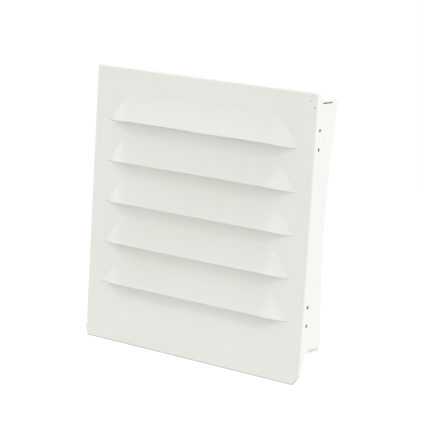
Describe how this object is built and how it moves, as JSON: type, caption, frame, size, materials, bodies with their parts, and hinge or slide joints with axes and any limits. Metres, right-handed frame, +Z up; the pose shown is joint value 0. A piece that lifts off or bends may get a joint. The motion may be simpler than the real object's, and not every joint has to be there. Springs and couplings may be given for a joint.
{
  "type": "louvred air grille",
  "caption": "Wall air grille: a one-piece folded hood with pressed, downward-facing louvres clips over a riveted wall frame that holds an insect screen and a foam seal.",
  "frame": {"origin": "in the wall plane, at the middle of the wall frame's rear side", "axes": "+X to the right seen from the front, +Y into the wall, +Z up; the front panel faces -Y"},
  "size_m": [0.25, 0.041, 0.2618],
  "materials": {
    "hood_paint": "off-white satin powder coat with a fine orange peel and a few small chips",
    "frame_zinc": "galvanised sheet, dull grey with faint spangle",
    "spring_steel": "dark oiled spring steel",
    "rivet_aluminium": "bright drawn aluminium",
    "bead_plastic": "matt extruded plastic",
    "screen_wire": "fine woven wire, dull grey",
    "gasket_foam": "closed-cell foam, matt black"
  },
  "bodies": {
    "wall_frame": {"corner_rivet_left_1": "rivet_aluminium", "corner_rivet_left_2": "rivet_aluminium", "corner_rivet_left_3": "rivet_aluminium", "corner_rivet_left_4": "rivet_aluminium", "corner_rivet_right_1": "rivet_aluminium", "corner_rivet_right_2": "rivet_aluminium", "corner_rivet_right_3": "rivet_aluminium", "corner_rivet_right_4": "rivet_aluminium", "frame_bottom_rail": "frame_zinc", "frame_left_rail": "frame_zinc", "frame_right_rail": "frame_zinc", "frame_top_rail": "frame_zinc", "gasket_bottom": "gasket_foam", "gasket_left": "gasket_foam", "gasket_right": "gasket_foam", "gasket_top": "gasket_foam", "insect_screen": "screen_wire", "screen_bead_bottom": "bead_plastic", "screen_bead_left": "bead_plastic", "screen_bead_right": "bead_plastic", "screen_bead_top": "bead_plastic"},
    "hood": {"clip_lower_left": "spring_steel", "clip_lower_right": "spring_steel", "clip_upper_left": "spring_steel", "clip_upper_right": "spring_steel", "front_hood": "hood_paint", "hood_bottom_plate": "hood_paint", "hood_top_plate": "hood_paint"}
  },
  "joints": [
    {"name": "hood_pull_off", "type": "slide", "parent": "wall_frame", "child": "hood", "axis": [0, -1, 0], "range_m": [0, 0.06]}
  ]
}
